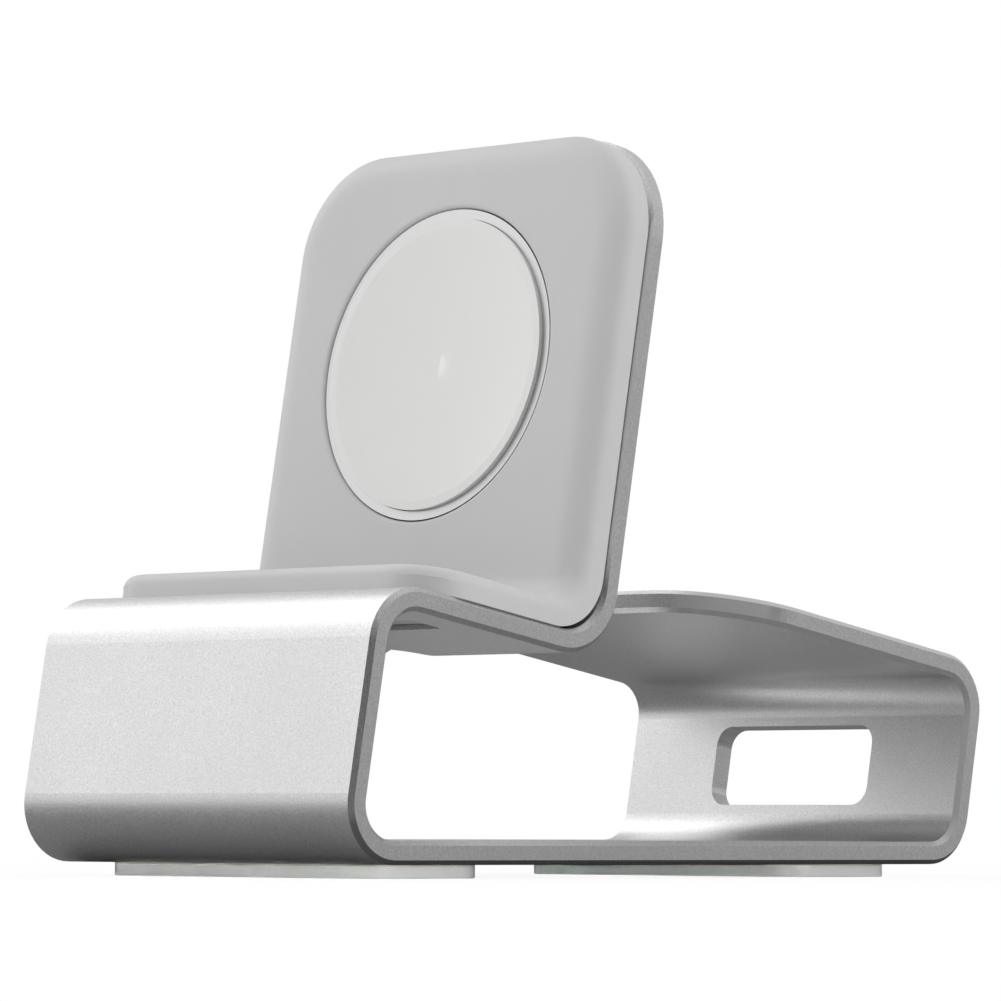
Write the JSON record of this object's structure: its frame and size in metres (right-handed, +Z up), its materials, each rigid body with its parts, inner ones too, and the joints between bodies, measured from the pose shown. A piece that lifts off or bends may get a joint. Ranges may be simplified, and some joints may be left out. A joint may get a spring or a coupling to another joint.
{
  "type": "smartwatch charging dock",
  "caption": "Bent aluminium strip stand with a leaning upright, a soft cradle that holds a round magnetic charging puck, and two rubber feet.",
  "frame": {"origin": "centre of the footprint, on the plane that the feet stand on", "axes": "+Z up, -Y toward the front, X across the strip"},
  "size_m": [0.042, 0.0772, 0.0641],
  "materials": {
    "aluminium": "fine blasted, clear anodised",
    "soft_cradle": "matt, light grey",
    "foot_rubber": "matt",
    "adhesive": "clear film",
    "puck_metal": "satin",
    "puck_white": "smooth",
    "magnet_metal": "nickel plated",
    "steel": "plain",
    "copper": "wound wire",
    "foam": "foam",
    "ferrite": "sintered",
    "inner_plastic": "moulded",
    "board": "solder mask",
    "chip_black": "moulded",
    "insulator_film": "film"
  },
  "bodies": {
    "root": {"stand_strip": "aluminium", "cradle": "soft_cradle", "shelf_film": "adhesive", "upright_film": "adhesive", "front_foot": "foot_rubber", "rear_foot": "foot_rubber", "front_foot_film": "adhesive", "rear_foot_film": "adhesive", "puck_can": "puck_metal", "puck_face": "puck_white", "face_glue": "adhesive", "magnet": "magnet_metal", "steel_disc": "steel", "coil": "copper", "coil_foam": "foam", "ferrite_ring": "ferrite", "spacer_ring": "inner_plastic", "circuit_board": "board", "control_chip": "chip_black", "power_chip": "chip_black", "insulator": "insulator_film", "inlet_sleeve": "puck_white"}
  },
  "joints": []
}
